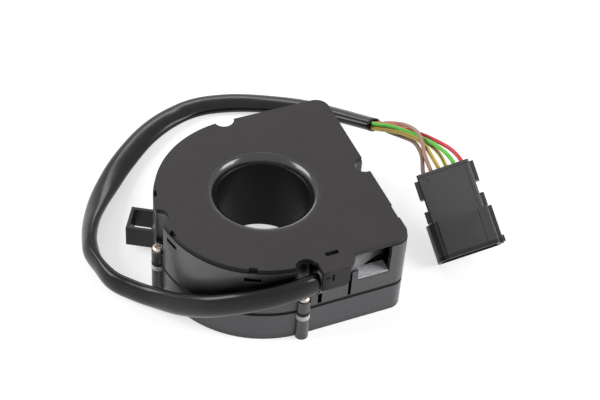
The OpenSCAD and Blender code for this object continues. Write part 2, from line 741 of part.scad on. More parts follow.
module connector_housing() {
    color(black) placed_plug() difference() {
        union() {
            drawn(0, hood_l) hood_section(0, top_step);
            bevelled_block(plug_w, hood_l - eps, plug_l, body_low, plug_t - body_drop, 0.6);
            translate([hood_x1 - 0.5, 0, mid_z - 2.2]) cube([rail_w + 0.5, hood_l, 4.2]);
            translate([hood_w / 2 - 0.5, 0.3, mid_z - 1]) cube([1.3, 2.3, 2.6]);
            side_rib(1, plug_l - 8.6, plug_l - 0.8);
            side_rib(1, hood_l + 0.7, hood_l + 5.6);
            side_rib(-1, plug_l - 9.1, plug_l - 1.9);
            side_rib(-1, hood_l + 0.8, hood_l + 5.1);
        }
        drawn(-1, mouth_depth) hood_section(hood_t, 0);
        translate([-cavity_w / 2, 0, mid_z - carrier_h / 2 - carrier_clear])
            cube([cavity_w, mouth_depth + carrier_l + carrier_clear, carrier_h + 2 * carrier_clear]);
        for (x = PINS) translate([x, plug_l + 1, mid_z]) rotate([90, 0, 0]) cylinder(r = pin_hole_r, h = plug_l);
        translate([-cavity_w / 2, lock_y, -1]) cube([cavity_w, lock_l, mid_z]);
        top_marks();
    }
}

module contact_carrier() {
    slot_h = 2.4;
    color("#39393b") placed_plug() difference() {
        translate([-cavity_w / 2 + carrier_clear, mouth_depth - carrier_out, mid_z - carrier_h / 2])
            cube([cavity_w - 2 * carrier_clear, carrier_l + carrier_out, carrier_h]);
        for (x = PINS) translate([x - slot_h / 2, mouth_depth - carrier_out - 1, mid_z - slot_h / 2])
            cube([slot_h, carrier_l + carrier_out + 2, slot_h]);
        for (i = [-2:2]) translate([i * pin_pitch - 0.15, mouth_depth - carrier_out - 1, mid_z - carrier_h / 2 - 1])
            cube([0.3, 5, 1.6]);
    }
}

module secondary_lock() {
    lock_w = cavity_w - 2 * carrier_clear;
    color("#46464a") placed_plug()
        translate([-lock_w / 2, lock_y + carrier_clear, body_low])
            cube([lock_w, lock_l - 2 * carrier_clear, mid_z - carrier_h / 2 - carrier_clear - body_low]);
}

module connector_contacts() {
    contact_w = 2;
    start = mouth_depth - carrier_out + 0.4;
    color("#c8c3b4") placed_plug() for (x = PINS) difference() {
        translate([x - contact_w / 2, start, mid_z - contact_w / 2]) cube([contact_w, carrier_l + 4, contact_w]);
        translate([x - 0.6, start - 1, mid_z - 0.5]) cube([1.2, 8, 1]);
    }
}

lower_housing();
loop_frame();
upper_housing();
top_cover();
spacer_rings();
housing_screws();
rotor();
thrust_washer();
wiper_carrier();
wiper_brush_a();
wiper_brush_b();
circuit_board();
track_disc();
resistive_tracks();
collector_ring();
microcontroller();
memory_chip();
bus_transceiver();
voltage_regulator();
clock_crystal();
filter_capacitors();
chip_capacitors();
chip_resistors();
surge_diode();
cable_seal();
inner_cable();
wire_tails();
cable_sleeve();
wire_brown();
wire_violet_brown();
wire_yellow_brown();
wire_yellow_black();
wire_green();
wire_red();
connector_housing();
contact_carrier();
secondary_lock();
connector_contacts();
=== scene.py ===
# %% [markdown]
# # Steering angle sensor: the looks
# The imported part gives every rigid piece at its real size. This script adds the camera, the light, the flat lead
# with its six wires, and a procedural finish for each piece. Lengths are in metres unless a name says mm.

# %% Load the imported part
import json
import math

import bpy
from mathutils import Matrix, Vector


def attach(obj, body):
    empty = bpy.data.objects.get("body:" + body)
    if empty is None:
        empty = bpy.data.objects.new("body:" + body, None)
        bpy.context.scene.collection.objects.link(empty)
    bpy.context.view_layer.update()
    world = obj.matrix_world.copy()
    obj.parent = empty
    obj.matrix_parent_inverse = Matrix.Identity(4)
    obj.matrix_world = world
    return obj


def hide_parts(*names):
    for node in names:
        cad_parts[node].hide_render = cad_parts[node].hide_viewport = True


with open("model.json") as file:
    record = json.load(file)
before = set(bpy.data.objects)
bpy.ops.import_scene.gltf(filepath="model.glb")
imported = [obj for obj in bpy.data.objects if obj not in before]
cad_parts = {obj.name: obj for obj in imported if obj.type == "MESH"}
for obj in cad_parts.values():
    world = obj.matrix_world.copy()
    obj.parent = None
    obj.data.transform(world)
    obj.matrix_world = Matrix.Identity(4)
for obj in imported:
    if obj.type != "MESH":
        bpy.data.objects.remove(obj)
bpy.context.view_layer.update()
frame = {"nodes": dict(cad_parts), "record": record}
NODES = frame["nodes"]
MM = 0.001
print("CAD nodes:", len(NODES))


# %% [markdown]
# ## Camera
# The photograph was taken from the front left and about 45 degrees above, through a long lens. A lens can be set by
# hand, but here its place was worked out from the box's own outlines, so the box and the camera agree.

# %% Camera of the photograph
VIEW_AZIMUTH = math.radians(25.98)
VIEW_ELEVATION = math.radians(44.81)
VIEW_ROLL = math.radians(4.45)
VIEW_DISTANCE = 578.57 * MM
VIEW_SIDE = 13.52 * MM
VIEW_AHEAD = -3.6 * MM
COVER_TOP = 36 * MM
LENS_MM = 96.08


def add_camera():
    """The camera looks at a point in the cover's plane, a little right of the shaft hole."""
    ahead = Vector((math.sin(VIEW_AZIMUTH), math.cos(VIEW_AZIMUTH), 0))
    right = Vector((math.cos(VIEW_AZIMUTH), -math.sin(VIEW_AZIMUTH), 0))
    back = Vector((0, 0, math.sin(VIEW_ELEVATION))) - ahead * math.cos(VIEW_ELEVATION)
    up = right.cross(-back)
    across = right * math.cos(VIEW_ROLL) + up * math.sin(VIEW_ROLL)
    upward = up * math.cos(VIEW_ROLL) - right * math.sin(VIEW_ROLL)
    target = right * VIEW_SIDE + ahead * VIEW_AHEAD + Vector((0, 0, COVER_TOP))
    data = bpy.data.cameras.new("camera")
    data.lens = LENS_MM
    data.sensor_width = 36
    data.clip_start = 0.01
    camera = bpy.data.objects.new("camera", data)
    bpy.context.scene.collection.objects.link(camera)
    matrix = camera.matrix_world.copy()
    for row in range(3):
        matrix[row][0] = across[row]
        matrix[row][1] = upward[row]
        matrix[row][2] = back[row]
        matrix[row][3] = (target + back * VIEW_DISTANCE)[row]
    camera.matrix_world = matrix
    bpy.context.scene.camera = camera


add_camera()
print("camera: %.0f mm lens, %.0f mm away" % (LENS_MM, VIEW_DISTANCE / MM))


# %% [markdown]
# ## Routes of the lead
# The real lead is a flattened black sleeve over six wires. Its middle line could be a Blender curve, but a list of
# points keeps it equal to the part's source: x, y, z in millimetres, and the turn of the flat section in degrees.

# %% Routes of the sleeve and the wires
SLEEVE_ROUTE = [
    (3.6, -41.7, 27.5, 90), (-1.3, -42.6, 28, 90), (-8, -42.6, 27.5, 90), (-14.5, -41.2, 26, 90),
    (-22.5, -37.6, 23, 90), (-32, -30.6, 17.5, 90), (-39.5, -20.8, 11, 90), (-45.5, -11, 6.5, 90),
    (-51.5, -3.5, 5.1, 90), (-57, 4, 5, 90), (-59.5, 14, 5, 90), (-59.5, 22.7, 5, 80),
    (-56, 33.2, 4.6, 60), (-50.3, 43.2, 3.9, 35), (-42.8, 53.2, 3.2, 12), (-33.4, 63.8, 2.8, 0),
    (-20.5, 75, 2.8, 0), (-8, 82, 2.8, 0), (5, 85.2, 2.8, 0), (18, 83.5, 2.9, 0),
    (31.5, 78, 3.4, 5), (47, 68, 5, 15), (56, 57.5, 7.5, 25), (66, 42, 12, 30),
]
INNER_ROUTE = [
    (36, -26.5, 23, 90), (33.5, -30, 25.5, 90), (27.5, -33, 27, 90), (19.7, -36.2, 27.3, 90),
    (13, -39.4, 27.2, 90), (8.6, -40.8, 27, 90), (3.7, -41.7, 27.5, 90),
]
WIRE_ROUTES = {
    "wire_brown": [
        (67.6, 42.4, 10.1), (68.8, 40.5, 10.7), (70, 35.8, 12.2), (71.4, 28.4, 15.8), (71.6, 19, 21),
        (69.8, 10.4, 24.4), (68.2, 5.2, 24.8), (66.3, 0.2, 23.3), (66.2, -3.2, 21.3)],
    "wire_violet_brown": [
        (68.1, 43.2, 11.7), (69.4, 41.3, 12.3), (71.4, 39, 14), (74.4, 31.8, 18.2), (72.8, 19.8, 25.6),
        (71, 11.8, 27.4), (69.2, 5.4, 26.6), (69, -0.4, 24.4), (69, -3.9, 22.3)],
    "wire_yellow_brown": [
        (63.9, 40.7, 12.3), (65.1, 38.8, 12.9), (68.2, 32.4, 16.4), (70.2, 24.6, 20.8), (71.8, 16.2, 24.4),
        (72, 9.8, 26.2), (71.6, 4.6, 26.4), (71.7, -1.1, 25.5), (71.7, -4.5, 23.4)],
    "wire_yellow_black": [
        (65.7, 41.5, 11.2), (67, 39.6, 11.8), (69.4, 35, 14.6), (72.2, 27.6, 18.4), (74, 19.4, 21.8),
        (75, 11.8, 24.6), (74.8, 4, 26.6), (74.4, -1.8, 26.5), (74.4, -5.2, 24.5)],
    "wire_green": [
        (64.5, 41.5, 13.9), (65.7, 39.6, 14.5), (69, 34.2, 17.2), (71.6, 26, 20.8), (73.4, 17.2, 24.4),
        (75, 8.6, 27.6), (76.4, 2.4, 28.4), (77.2, -2.4, 27.6), (77.1, -5.8, 25.5)],
    "wire_red": [
        (66.3, 42.4, 12.8), (67.6, 40.5, 13.4), (70.6, 36, 15.8), (73.6, 29.4, 18), (76.4, 21.2, 21.6),
        (77.8, 11, 26.2), (79, 3, 28.8), (79.9, -3.1, 28.7), (79.9, -6.5, 26.6)],
}
SLEEVE_WIDTH_MM, SLEEVE_THICK_MM = 9.8, 5.4
INNER_WIDTH_MM, INNER_THICK_MM = 9.2, 4.6
WIRE_MM = 1.6
UP = Vector((0, 0, 1))


# %% [markdown]
# ## Smooth paths
# A real lead has no corners. A Catmull-Rom curve passes through every point of a route, so it is a plain way to a
# smooth path that still goes where the source says.

# %% A smooth path through a route
def smooth_route(points, step_mm):
    """Points about step_mm apart on a Catmull-Rom curve through the route, each with its turn."""
    rows = [tuple(p) if len(p) == 4 else (*p, 0) for p in points]
    ends = [rows[0], *rows, rows[-1]]
    made = []
    for i in range(len(rows) - 1):
        p0, p1, p2, p3 = ends[i:i + 4]
        span = math.dist(p1[:3], p2[:3])
        count = max(2, round(span / step_mm))
        for k in range(count):
            t = k / count
            made.append(tuple(
                0.5 * (2 * b + (c - a) * t + (2 * a - 5 * b + 4 * c - d) * t ** 2
                       + (3 * b - 3 * c + d - a) * t ** 3)
                for a, b, c, d in zip(p0, p1, p2, p3)))
    made.append(rows[-1])
    return made


def directions(rows):
    """The unit tangent at each point of a smoothed route."""
    found = []
    for i in range(len(rows)):
        a, b = rows[max(i - 1, 0)], rows[min(i + 1, len(rows) - 1)]
        found.append(Vector([b[k] - a[k] for k in range(3)]).normalized())
    return found


# %% [markdown]
# ## A flattened tube
# A bevelled curve has a round section all along. The sleeve is flat, turns as it goes and is pinched in places, so
# its rings are made in mesh code, and its length and turn are kept as UVs for the finishes.

# %% Rings joined to a tube
def section_point(angle, width, thick, fullness):
    """A point of a flattened round section. A fullness under 1 pushes it towards a box with round corners."""
    c, s = math.cos(angle), math.sin(angle)
    return (math.copysign(abs(c) ** fullness, c) * width / 2, math.copysign(abs(s) ** fullness, s) * thick / 2)


def tube(name, rows, size_at, sides=24, fullness=1.0, hollow_end=0.0):
    """A tube along the rows. size_at gives its width and thickness in mm at a share of its length.
    With hollow_end its last end is open, with walls that thick, so that wires can come out of it."""
    tangents = directions(rows)
    total = len(rows) - 1
    rings = []
    for i, row in enumerate(rows):
        width, thick = size_at(i / total)
        rings.append((Vector(row[:3]), tangents[i], row[3], width, thick))
    if hollow_end:
        centre, tangent, turn, width, thick = rings[-1]
        rim = (centre + tangent * 0.05, tangent, turn, width - hollow_end, thick - hollow_end)
        lip = (centre, tangent, turn, width - 2 * hollow_end, thick - 2 * hollow_end)
        floor = (centre - tangent * 4, tangent, turn, width - 2 * hollow_end, thick - 2 * hollow_end)
        rings += [rim, lip, floor]
    verts, faces, marks = [], [], []
    reach = 0.0
    for i, (centre, tangent, turn, width, thick) in enumerate(rings):
        if i:
            reach += (centre - rings[i - 1][0]).length
        side = tangent.cross(UP).normalized()
        over = side.cross(tangent)
        a = math.radians(turn)
        wide = side * math.cos(a) + over * math.sin(a)
        thin = over * math.cos(a) - side * math.sin(a)
        for k in range(sides):
            x, y = section_point(2 * math.pi * k / sides, width, thick, fullness)
            verts.append((centre + wide * x + thin * y) * MM)
        marks.append(reach)
    for i in range(len(rings) - 1):
        for k in range(sides):
            a, b = i * sides + k, i * sides + (k + 1) % sides
            faces.append((a, b, b + sides, a + sides))
    faces.append(tuple(range(sides - 1, -1, -1)))
    faces.append(tuple((len(rings) - 1) * sides + k for k in range(sides)))
    mesh = bpy.data.meshes.new(name)
    mesh.from_pydata(verts, [], faces)
    layer = mesh.uv_layers.new(name="along")
    for face in mesh.polygons:
        strip = face.index % sides
        for loop in face.loop_indices:
            v = mesh.loops[loop].vertex_index
            k = v % sides
            turn_share = 1.0 if (k == 0 and strip == sides - 1) else k / sides
            layer.data[loop].uv = (turn_share, marks[v // sides])
        face.use_smooth = len(face.vertices) == 4
    mesh.update()
    piece = bpy.data.objects.new(name, mesh)
    bpy.context.scene.collection.objects.link(piece)
    return piece


def length_of(rows):
    return sum(math.dist(a[:3], b[:3]) for a, b in zip(rows, rows[1:])) * MM


# %% [markdown]
# ## The lead
# A soft sleeve folds where it bends hardest, and its end is cut open, with the wires coming out of it. The pinches are
# soft bumps in its thickness, because a simulation would move it away from the route.

# %% Sleeve, held stretch and wires
PINCHES = [(0.345, 0.018, 0.8), (0.375, 0.012, 1.1), (0.69, 0.012, 0.86)]


def sleeve_size(share):
    """Width and thickness along the sleeve, with soft pinches where it bends hardest."""
    width, thick = SLEEVE_WIDTH_MM, SLEEVE_THICK_MM
    for place, spread, factor in PINCHES:
        bump = math.exp(-((share - place) / spread) ** 2)
        thick *= 1 + (factor - 1) * bump
        width *= 1 + (1 - factor) * 0.08 * bump
    thick *= 1 + 0.025 * math.sin(share * 61) * math.sin(share * 23)
    return width, thick


def inner_size(share):
    """The held stretch is squeezed, and takes the sleeve's own section as it comes out."""
    ease = min(1, max(0, (share - 0.7) / 0.3))
    return (INNER_WIDTH_MM + (SLEEVE_WIDTH_MM - INNER_WIDTH_MM) * ease,
            INNER_THICK_MM + (SLEEVE_THICK_MM - INNER_THICK_MM) * ease)


def add_lead():
    """The sleeve, the held stretch behind the strap and the six wires."""
    sleeve_rows = smooth_route(SLEEVE_ROUTE, 1.2)
    sleeve = tube("sleeve", sleeve_rows, sleeve_size, sides=32, fullness=1.0, hollow_end=0.7)
    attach(sleeve, "housing")
    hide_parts("cable_sleeve")
    inner_rows = smooth_route(INNER_ROUTE, 1.2)
    inner = tube("held_lead", inner_rows, inner_size, sides=32, fullness=0.9)
    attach(inner, "housing")
    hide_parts("inner_cable")
    wires = {}
    for name, route in WIRE_ROUTES.items():
        rows = smooth_route(route, 0.8)
        wire = tube(name + "_lead", rows, lambda share: (WIRE_MM, WIRE_MM), sides=14)
        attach(wire, "housing")
        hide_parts(name)
        wires[name] = wire
    return sleeve, inner, wires


sleeve, held_lead, wires = add_lead()
print("sleeve: %.0f mm long" % (length_of(smooth_route(SLEEVE_ROUTE, 1.2)) / MM))
for wire_name, wire_route in WIRE_ROUTES.items():
    print("%s: %.1f mm long" % (wire_name, length_of(smooth_route(wire_route, 0.8)) / MM))


# %% [markdown]
# ## The lip of the collar
# On the real cover the collar rolls down to the rotor's rim in one soft curve, and the CAD model has a smaller round
# and a straight wall there. A curve that is turned round the shaft's axis covers both. It could be a Screw modifier,
# but rings in mesh code are as short.

# %% Rolled lip inside the collar
LIP_BOTTOM_MM, LIP_TOP_MM = 33.0, 36.01
LIP_CONE_MM = ((17.45, 33.9), (19.0, 35.51))
LIP_BEND_MM, LIP_OUTER_MM = 19.48, 20.15
LIP_STEPS, LIP_SEGMENTS = 12, 160


def add_collar_lip():
    """A cone over the rotor's rim that rounds into the plate, turned round the axis and closed behind."""
    (foot_r, foot_z), (bend_r, bend_z) = LIP_CONE_MM
    profile = [(foot_r, LIP_BOTTOM_MM), (foot_r, foot_z)]
    for i in range(LIP_STEPS + 1):
        t = i / LIP_STEPS
        first, middle, last = (1 - t) ** 2, 2 * t * (1 - t), t ** 2
        profile.append((first * bend_r + middle * LIP_BEND_MM + last * LIP_OUTER_MM,
                        first * bend_z + (middle + last) * LIP_TOP_MM))
    profile += [(LIP_OUTER_MM, LIP_TOP_MM - 0.4), (foot_r + 0.5, LIP_BOTTOM_MM)]
    count = len(profile)
    verts, faces = [], []
    for k in range(LIP_SEGMENTS):
        a = 2 * math.pi * k / LIP_SEGMENTS
        verts += [(r * math.cos(a) * MM, r * math.sin(a) * MM, z * MM) for r, z in profile]
    for k in range(LIP_SEGMENTS):
        here, there = k * count, (k + 1) % LIP_SEGMENTS * count
        for i in range(count):
            j = (i + 1) % count
            faces.append((here + i, here + j, there + j, there + i))
    mesh = bpy.data.meshes.new("collar_lip")
    mesh.from_pydata(verts, [], faces)
    for face in mesh.polygons:
        face.use_smooth = 1 <= face.index % count < LIP_STEPS + 2
    mesh.update()
    lip = bpy.data.objects.new("collar_lip", mesh)
    bpy.context.scene.collection.objects.link(lip)
    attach(lip, "housing")
    return lip


collar_lip = add_collar_lip()
print("collar lip: %d faces" % len(collar_lip.data.polygons))


# %% [markdown]
# ## Helpers for the finishes
# Plastic is never one flat colour: its shade drifts, its gloss changes, and its grain catches light. Image textures
# could show that, but nodes need no files and stay sharp, so every finish here is made of noise in real millimetres.

# %% A finish made of nodes
class Finish:
    """A material with a Principled shader, and short ways to add nodes to it."""

    def __init__(self, name, colour, roughness, metallic=0.0, specular=0.5):
        self.material = bpy.data.materials.new(name)
        self.material.use_nodes = True
        self.tree = self.material.node_tree
        self.shader = self.tree.nodes["Principled BSDF"]
        self.shader.inputs["Base Color"].default_value = (*colour, 1)
        self.shader.inputs["Roughness"].default_value = roughness
        self.shader.inputs["Metallic"].default_value = metallic
        self.shader.inputs["Specular IOR Level"].default_value = specular
        self.place = None

    def add(self, kind, **values):
        """A node with its settings: names with a capital letter are inputs, others are properties."""
        node = self.tree.nodes.new(kind)
        for key, value in values.items():
            if key[0].isupper():
                node.inputs[key.replace("_", " ")].default_value = value
            else:
                setattr(node, key, value)
        return node

    def link(self, out, into):
        self.tree.links.new(out, into)

    def coordinates(self, kind="Object"):
        if self.place is None:
            self.place = self.add("ShaderNodeTexCoord")
        return self.place.outputs[kind]

    def noise(self, size_mm, detail=4, stretch=None, rough=0.5):
        """Noise whose features are about size_mm across, pulled along the axes by stretch."""
        place = self.coordinates()
        if stretch:
            mapping = self.add("ShaderNodeMapping", Scale=stretch)
            self.link(place, mapping.inputs["Vector"])
            place = mapping.outputs["Vector"]
        node = self.add("ShaderNodeTexNoise", Scale=1 / (size_mm * MM), Detail=detail, Roughness=rough)
        self.link(place, node.inputs["Vector"])
        return node.outputs["Fac"]

    def spread(self, value, low, high, start=0.3, end=0.7):
        """Maps a value to a range of numbers."""
        node = self.add("ShaderNodeMapRange", clamp=True)
        for key, number in (("From Min", start), ("From Max", end), ("To Min", low), ("To Max", high)):
            node.inputs[key].default_value = number
        self.link(value, node.inputs["Value"])
        return node.outputs["Result"]

    def sum(self, kind, first, second):
        """Two values, or a value and a number, put together by a Math node."""
        node = self.add("ShaderNodeMath", operation=kind)
        for socket, value in zip(node.inputs, (first, second)):
            if isinstance(value, (int, float)):
                socket.default_value = value
            else:
                self.link(value, socket)
        return node.outputs[0]

    def from_axis(self, inner_mm, outer_mm):
        """1 nearer the shaft's axis than inner_mm, 0 beyond outer_mm."""
        flat = self.add("ShaderNodeVectorMath", operation="MULTIPLY")
        self.link(self.coordinates(), flat.inputs[0])
        flat.inputs[1].default_value = (1, 1, 0)
        far = self.add("ShaderNodeVectorMath", operation="LENGTH")
        self.link(flat.outputs["Vector"], far.inputs[0])
        return self.spread(far.outputs["Value"], 1, 0, inner_mm * MM, outer_mm * MM)

    def along(self, start, axis):
        """How far a point lies from start along the axis, in metres."""
        moved = self.add("ShaderNodeVectorMath", operation="SUBTRACT")
        self.link(self.coordinates(), moved.inputs[0])
        moved.inputs[1].default_value = tuple(v * MM for v in start)
        way = self.add("ShaderNodeVectorMath", operation="DOT_PRODUCT")
        self.link(moved.outputs["Vector"], way.inputs[0])
        way.inputs[1].default_value = axis
        return way.outputs["Value"]

    def blend(self, share, first, second):
        """The colour between two colours, or from another node's colour to a second one."""
        node = self.add("ShaderNodeMix", data_type="RGBA")
        self.link(share, node.inputs["Factor"])
        for socket, colour in ((node.inputs[6], first), (node.inputs[7], second)):
            if isinstance(colour, tuple):
                socket.default_value = (*colour, 1)
            else:
                self.link(colour, socket)
        return node.outputs[2]

    def painted_hollow_shade(self, colour, reach_mm, floor=0.15):
        """The colour, painted darker in corners and hollows that are about reach_mm deep: painted shade."""
        hollow = self.add("ShaderNodeAmbientOcclusion", samples=12)
        hollow.inputs["Distance"].default_value = reach_mm * MM
        open_share = self.spread(hollow.outputs["AO"], 0, 1, floor, 0.8)
        # Painted shade: where the occlusion finds a hollow, the colour blends towards black.
        return self.blend(open_share, (0.001, 0.001, 0.001), colour)

    def colour(self, value):
        self.link(value, self.shader.inputs["Base Color"])

    def roughness(self, value):
        self.link(value, self.shader.inputs["Roughness"])

    def relief(self, heights, edge_mm=0.0):
        """Bumps from (value, depth in mm) pairs, one over the other, on edges that look softly rounded."""
        normal = None
        if edge_mm:
            bevel = self.add("ShaderNodeBevel", samples=8)
            bevel.inputs["Radius"].default_value = edge_mm * MM
            normal = bevel.outputs["Normal"]
        for value, depth_mm in heights:
            bump = self.add("ShaderNodeBump", Strength=1.0, Distance=depth_mm * MM)
            self.link(value, bump.inputs["Height"])
            if normal:
                self.link(normal, bump.inputs["Normal"])
            normal = bump.outputs["Normal"]
        self.link(normal, self.shader.inputs["Normal"])


def tinted(colour, factor):
    return tuple(min(1.0, c * factor) for c in colour)


# %% [markdown]
# ## Moulded plastics
# The shells, the connector and the small parts come out of steel moulds, whose faces leave a fine grain. A bevel node
# rounds the light on their edges, because the CAD meshes stay as they are.

# %% Moulded plastic
def moulded(name, colour, roughness, grain_mm=0.35, grain_depth=0.006, drift=0.12, edge_mm=0.2, specular=0.5):
    """Moulded plastic: a fine grain, faint clouds of shade and gloss, and soft edges."""
    made = Finish(name, colour, roughness, specular=specular)
    cloud = made.noise(14, detail=3)
    made.colour(made.blend(made.spread(cloud, 0, 1), tinted(colour, 1 - drift), tinted(colour, 1 + drift)))
    made.roughness(made.spread(made.noise(6, detail=5), roughness - 0.04, roughness + 0.05))
    made.relief([(made.noise(grain_mm, detail=3), grain_depth), (made.noise(9, detail=1), 0.02)], edge_mm)
    return made.material


# %% [markdown]
# ## The two shells
# A narrow gap goes round the box between the shells. On the real part its edges and its floor are deep in shade.
# Lamps alone leave it grey, so the finish of the shells is painted black at that height, as painted shade.

# %% Shells with painted shade in the seam and in hollows
SHELL_ROUGHNESS = 0.27
SEAM_LOW_MM, SEAM_HIGH_MM = 12.35, 14.05


def shell_finish(name, colour):
    """A satin grey with a fine grain, painted shade in its hollows, and black painted shade in the seam."""
    made = Finish(name, colour, SHELL_ROUGHNESS, specular=0.6)
    height = made.along((0, 0, 0), (0, 0, 1))
    seam_shade_band = made.sum("MULTIPLY", made.sum("GREATER_THAN", height, SEAM_LOW_MM * MM),
                      made.sum("LESS_THAN", height, SEAM_HIGH_MM * MM))
    shade = made.blend(made.spread(made.noise(14, detail=3), 0, 1), tinted(colour, 0.94), tinted(colour, 1.06))
    # Painted shade: hollows about 7 mm deep turn darker, and the seam band is painted black.
    made.colour(made.blend(seam_shade_band, made.painted_hollow_shade(shade, 7, 0.35), (0.002, 0.002, 0.002)))
    gloss = made.spread(made.noise(6, detail=5), -0.04, 0.05)
    made.roughness(made.sum("ADD", gloss, made.spread(seam_shade_band, SHELL_ROUGHNESS, 0.9, 0, 1)))
    made.relief([(made.noise(0.35, detail=3), 0.006), (made.noise(9, detail=1), 0.02)], 0.2)
    return made.material


# %% [markdown]
# ## The cover
# The cover's plate is matte, and its rolled collar is polished where the tool was turned. One node tells how far a
# point lies from the shaft's axis, so plate and collar share one material.

# %% Matte cover with a polished collar
PLATE_COLOUR = (0.0365, 0.033, 0.034)
# Colour of the painted shade on the cover's side faces.
SIDE_SHADE_COLOUR = (0.010, 0.010, 0.010)
PLATE_ROUGHNESS, COLLAR_ROUGHNESS = 0.56, 0.3
COLLAR_INNER_MM, COLLAR_OUTER_MM = 20.1, 21.8
COLLAR_SLOPE_MM = 0.1
EDGE_ROUNDING_MM = 0.3


def cover_finish():
    """A matte plate with a spark eroded grain and a glossier collar round the shaft hole, with painted shade on side
    faces and in hollows.
    """
    made = Finish("matte_grey_cover", PLATE_COLOUR, PLATE_ROUGHNESS, specular=0.2)
    collar = made.from_axis(COLLAR_INNER_MM, COLLAR_OUTER_MM)
    cloud = made.noise(16, detail=3)
    shade = made.blend(made.spread(cloud, 0, 1), tinted(PLATE_COLOUR, 0.96), tinted(PLATE_COLOUR, 1.05))
    # Painted shade: faces that do not look up take the darker side colour where x is below about 5 to 8 mm, and
    # hollows about 3 mm deep turn darker.
    facing = made.add("ShaderNodeSeparateXYZ")
    made.link(made.coordinates("Normal"), facing.inputs["Vector"])
    unshaded_share = made.spread(facing.outputs["Z"], 0, 1, 0.2, 0.7)
    unshaded_share = made.sum("MAXIMUM", unshaded_share, made.spread(made.along((0, 0, 0), (1, 0, 0)), 0, 1, 5 * MM, 8 * MM))
    made.colour(made.painted_hollow_shade(made.blend(unshaded_share, SIDE_SHADE_COLOUR, shade), 3))
    gloss = made.spread(made.noise(5, detail=5), -0.03, 0.04)
    made.roughness(made.sum("ADD", gloss, made.spread(collar, PLATE_ROUGHNESS, COLLAR_ROUGHNESS, 0, 1)))
    slope = made.sum("MULTIPLY", made.sum("MULTIPLY", collar, collar), -1)
    made.relief([(slope, COLLAR_SLOPE_MM), (made.noise(0.3, detail=3), 0.008)], EDGE_ROUNDING_MM)
    return made.material


def collar_lip_finish():
    """The polished roll of the collar, with faint turning lines round the axis, darker than the plate as painted shade
    on its flanks.
    """
    # The base colour is darker than the cover's plate: painted shade on the lip's flanks.
    made = Finish("polished_collar", (0.014, 0.013, 0.014), 0.2, specular=0.75)
    made.roughness(made.spread(made.noise(4, detail=4), 0.17, 0.23))
    made.colour(made.blend(made.spread(made.noise(9), 0, 1), (0.012, 0.011, 0.012), (0.018, 0.017, 0.018)))
    made.relief([(made.noise(0.4, detail=2, stretch=(1, 1, 0.2)), 0.004)])
    return made.material


# %% [markdown]
# ## The connector
# The body is a dull black that rubs to grey and the hood over its mouth is darker. The mouth's rim is painted black as
# shade in the mouth. All three are one moulding, so the finish changes with the distance from the mouth.

# %% Connector with a darker hood and painted shade on the rim
MOUTH_CENTRE_MM = (72.82, -31.59, 7.88)
MOUTH_AXIS = (0.0075, 0.8571, 0.515)
HOOD_LENGTH_MM, RIM_SHADE_MM = 14.8, 1.5


def connector_finish():
    """Three tones along the connector: black painted shade on the rim, dark hood, greyer body."""
    rim, hood, body = (0.002, 0.002, 0.002), (0.031, 0.031, 0.033), (0.047, 0.047, 0.048)
    made = Finish("black_connector", body, 0.38, specular=0.45)
    way = made.along(MOUTH_CENTRE_MM, MOUTH_AXIS)
    past_hood = made.spread(way, 0, 1, (HOOD_LENGTH_MM - 1.5) * MM, (HOOD_LENGTH_MM + 0.3) * MM)
    # Painted shade: the first 1.5 mm from the mouth is painted black, for the shade in the mouth.
    past_rim_shade = made.spread(way, 0, 1, RIM_SHADE_MM * MM, (RIM_SHADE_MM + 0.1) * MM)
    tone = made.blend(past_hood, hood, body)
    cloud = made.spread(made.noise(7, detail=4), 0.0, 0.35)
    tone = made.blend(cloud, tone, (0.06, 0.06, 0.061))
    made.colour(made.blend(past_rim_shade, rim, tone))
    made.roughness(made.spread(made.noise(5, detail=5), 0.33, 0.45))
    made.relief([(made.noise(0.4, detail=3), 0.006), (made.noise(7, detail=2), 0.04)], 0.22)
    return made.material


# %% [markdown]
# ## Metal
# Zinc plated screws, sprung brass and drawn cans are all metal with short marks from tools. Noise that is squeezed
# along one axis gives such marks.

# %% Brushed metal
def metal(name, colour, roughness, brush=(1, 1, 8), edge_mm=0.1):
    """Metal with short brush marks."""
    made = Finish(name, colour, roughness, metallic=1.0)
    marks = made.noise(0.5, detail=4, stretch=brush)
    made.roughness(made.spread(marks, roughness - 0.08, roughness + 0.12))
    made.colour(made.blend(made.spread(made.noise(2), 0, 1), tinted(colour, 0.85), tinted(colour, 1.1)))
    made.relief([(marks, 0.01)], edge_mm)
    return made.material


# %% [markdown]
# ## The sleeve
# Soft black hose is drawn through a die, so it has faint lines along it, and it is rubbed duller in patches. The UVs
# of the tube run along it, so the lines follow every bend.

# %% Soft black hose
def sleeve_finish(name, dark, pale, gloss=(0.19, 0.25)):
    """Satin hose, with faint lengthwise drag lines and small rubbed patches."""
    made = Finish(name, dark, gloss[0], specular=0.28)
    uv = made.coordinates("UV")
    pull = made.add("ShaderNodeMapping", Scale=(34, 0.12, 1))
    made.link(uv, pull.inputs["Vector"])
    lines = made.add("ShaderNodeTexNoise", Scale=1.0, Detail=3)
    made.link(pull.outputs["Vector"], lines.inputs["Vector"])
    patches = made.noise(5, detail=5)
    made.colour(made.blend(made.spread(patches, 0, 1), dark, pale))
    made.roughness(made.spread(patches, *gloss))
    made.relief([(lines.outputs["Fac"], 0.02), (made.noise(12, detail=1), 0.12)])
    return made.material


# %% [markdown]
# ## The wires
# Each wire has its own colour, and two have a printed stripe on one side. The stripe could be a second mesh, but a
# band in the UVs stays on the same side of the wire round every bend.

